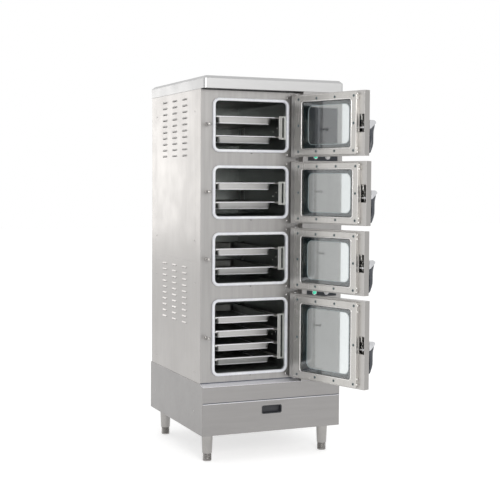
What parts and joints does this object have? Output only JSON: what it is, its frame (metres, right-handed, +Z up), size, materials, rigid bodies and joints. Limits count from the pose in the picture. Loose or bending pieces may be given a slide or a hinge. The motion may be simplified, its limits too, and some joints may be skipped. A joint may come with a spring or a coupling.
{
  "type": "steamer cabinet",
  "caption": "Free-standing food steaming cabinet: stacked chambers with side-hinged glass doors and pull-out pans, a control column, a base drawer and levelling legs.",
  "frame": {"origin": "on the floor, under the middle of the box that the cabinet fills with its doors open as pictured", "axes": "+Z up, -Y out of the front, towards a person at the doors, +X to that person's right"},
  "size_m": [0.739, 1.2262, 1.85],
  "materials": {
    "brushed_steel": "satin",
    "polished_steel": "polished",
    "gasket_rubber": "matte",
    "black_plastic": "satin",
    "white_plastic": "gloss",
    "dark_glass": "clear with a black border"
  },
  "bodies": {
    "cabinet": {"top_cover": "brushed_steel", "cabinet_frame": "brushed_steel", "front_panel": "brushed_steel", "control_cover": "brushed_steel", "side_panel_left_upper": "brushed_steel", "side_panel_left_lower": "brushed_steel", "side_panel_right_upper": "brushed_steel", "side_panel_right_lower": "brushed_steel", "back_panel": "brushed_steel", "base_skirt": "brushed_steel", "hinge_strip": "brushed_steel", "steam_generator": "brushed_steel", "chamber_liner_1": "brushed_steel", "chamber_liner_2": "brushed_steel", "chamber_liner_3": "brushed_steel", "chamber_liner_4": "brushed_steel", "pan_rack_1": "brushed_steel", "pan_rack_2": "brushed_steel", "pan_rack_3": "brushed_steel", "pan_rack_4": "brushed_steel", "leg_front_left": "polished_steel", "leg_front_right": "polished_steel", "leg_back_left": "polished_steel", "leg_back_right": "polished_steel", "keeper_bar": "polished_steel", "door_gasket_1": "gasket_rubber", "door_gasket_2": "gasket_rubber", "door_gasket_3": "gasket_rubber", "door_gasket_4": "gasket_rubber", "control_board": "black_plastic"},
    "door_1": {"door_shell_1": "brushed_steel", "glass_frame_1": "brushed_steel", "door_glass_1": "dark_glass"},
    "handle_1": {"door_handle_1": "black_plastic"},
    "door_2": {"door_shell_2": "brushed_steel", "glass_frame_2": "brushed_steel", "door_glass_2": "dark_glass"},
    "handle_2": {"door_handle_2": "black_plastic"},
    "door_3": {"door_shell_3": "brushed_steel", "glass_frame_3": "brushed_steel", "door_glass_3": "dark_glass"},
    "handle_3": {"door_handle_3": "black_plastic"},
    "door_4": {"door_shell_4": "brushed_steel", "glass_frame_4": "brushed_steel", "door_glass_4": "dark_glass"},
    "handle_4": {"door_handle_4": "black_plastic"},
    "pan_1_1": {"pan_1_1": "polished_steel"},
    "pan_1_2": {"pan_1_2": "polished_steel"},
    "pan_2_1": {"pan_2_1": "polished_steel"},
    "pan_2_2": {"pan_2_2": "polished_steel"},
    "pan_3_1": {"pan_3_1": "polished_steel"},
    "pan_3_2": {"pan_3_2": "polished_steel"},
    "pan_4_1": {"pan_4_1": "polished_steel"},
    "pan_4_2": {"pan_4_2": "polished_steel"},
    "pan_4_3": {"pan_4_3": "polished_steel"},
    "pan_4_4": {"pan_4_4": "polished_steel"},
    "drawer": {"base_drawer": "brushed_steel", "flush_pull": "black_plastic"},
    "upper_button": {"button_upper": "white_plastic"},
    "lower_button": {"button_lower": "white_plastic"}
  },
  "joints": [
    {"name": "door_1_hinge", "type": "hinge", "parent": "cabinet", "child": "door_1", "pos_m": [0.113, -0.16976, 1.6217], "axis": [0, 0, 1], "range_deg": [-108, 37]},
    {"name": "door_2_hinge", "type": "hinge", "parent": "cabinet", "child": "door_2", "pos_m": [0.113, -0.16976, 1.3012], "axis": [0, 0, 1], "range_deg": [-110, 35]},
    {"name": "door_3_hinge", "type": "hinge", "parent": "cabinet", "child": "door_3", "pos_m": [0.113, -0.16976, 0.9807], "axis": [0, 0, 1], "range_deg": [-109, 36]},
    {"name": "door_4_hinge", "type": "hinge", "parent": "cabinet", "child": "door_4", "pos_m": [0.113, -0.16976, 0.6032], "axis": [0, 0, 1], "range_deg": [-110, 35]},
    {"name": "handle_1_turn", "type": "hinge", "parent": "door_1", "child": "handle_1", "pos_m": [0.26761, -0.59058, 1.6017], "axis": [0.9511, 0.309, 0], "range_deg": [0, 65]},
    {"name": "handle_2_turn", "type": "hinge", "parent": "door_2", "child": "handle_2", "pos_m": [0.2822, -0.58493, 1.2812], "axis": [0.9397, 0.342, 0], "range_deg": [0, 65]},
    {"name": "handle_3_turn", "type": "hinge", "parent": "door_3", "child": "handle_3", "pos_m": [0.27493, -0.58782, 0.9607], "axis": [0.9455, 0.3256, 0], "range_deg": [0, 65]},
    {"name": "handle_4_turn", "type": "hinge", "parent": "door_4", "child": "handle_4", "pos_m": [0.2822, -0.58493, 0.5832], "axis": [0.9397, 0.342, 0], "range_deg": [0, 65]},
    {"name": "pan_1_1_slide", "type": "slide", "parent": "cabinet", "child": "pan_1_1", "axis": [0, -1, 0], "range_m": [0, 0.42]},
    {"name": "pan_1_2_slide", "type": "slide", "parent": "cabinet", "child": "pan_1_2", "axis": [0, -1, 0], "range_m": [0, 0.42]},
    {"name": "pan_2_1_slide", "type": "slide", "parent": "cabinet", "child": "pan_2_1", "axis": [0, -1, 0], "range_m": [0, 0.42]},
    {"name": "pan_2_2_slide", "type": "slide", "parent": "cabinet", "child": "pan_2_2", "axis": [0, -1, 0], "range_m": [0, 0.42]},
    {"name": "pan_3_1_slide", "type": "slide", "parent": "cabinet", "child": "pan_3_1", "axis": [0, -1, 0], "range_m": [0, 0.42]},
    {"name": "pan_3_2_slide", "type": "slide", "parent": "cabinet", "child": "pan_3_2", "axis": [0, -1, 0], "range_m": [0, 0.42]},
    {"name": "pan_4_1_slide", "type": "slide", "parent": "cabinet", "child": "pan_4_1", "axis": [0, -1, 0], "range_m": [0, 0.42]},
    {"name": "pan_4_2_slide", "type": "slide", "parent": "cabinet", "child": "pan_4_2", "axis": [0, -1, 0], "range_m": [0, 0.42]},
    {"name": "pan_4_3_slide", "type": "slide", "parent": "cabinet", "child": "pan_4_3", "axis": [0, -1, 0], "range_m": [0, 0.42]},
    {"name": "pan_4_4_slide", "type": "slide", "parent": "cabinet", "child": "pan_4_4", "axis": [0, -1, 0], "range_m": [0, 0.42]},
    {"name": "drawer_slide", "type": "slide", "parent": "cabinet", "child": "drawer", "axis": [0, -1, 0], "range_m": [0, 0.3]},
    {"name": "upper_button_press", "type": "slide", "parent": "cabinet", "child": "upper_button", "axis": [0, 1, 0], "range_m": [0, 0.004], "stiffness_N_per_m": 300},
    {"name": "lower_button_press", "type": "slide", "parent": "cabinet", "child": "lower_button", "axis": [0, 1, 0], "range_m": [0, 0.004], "stiffness_N_per_m": 300}
  ]
}
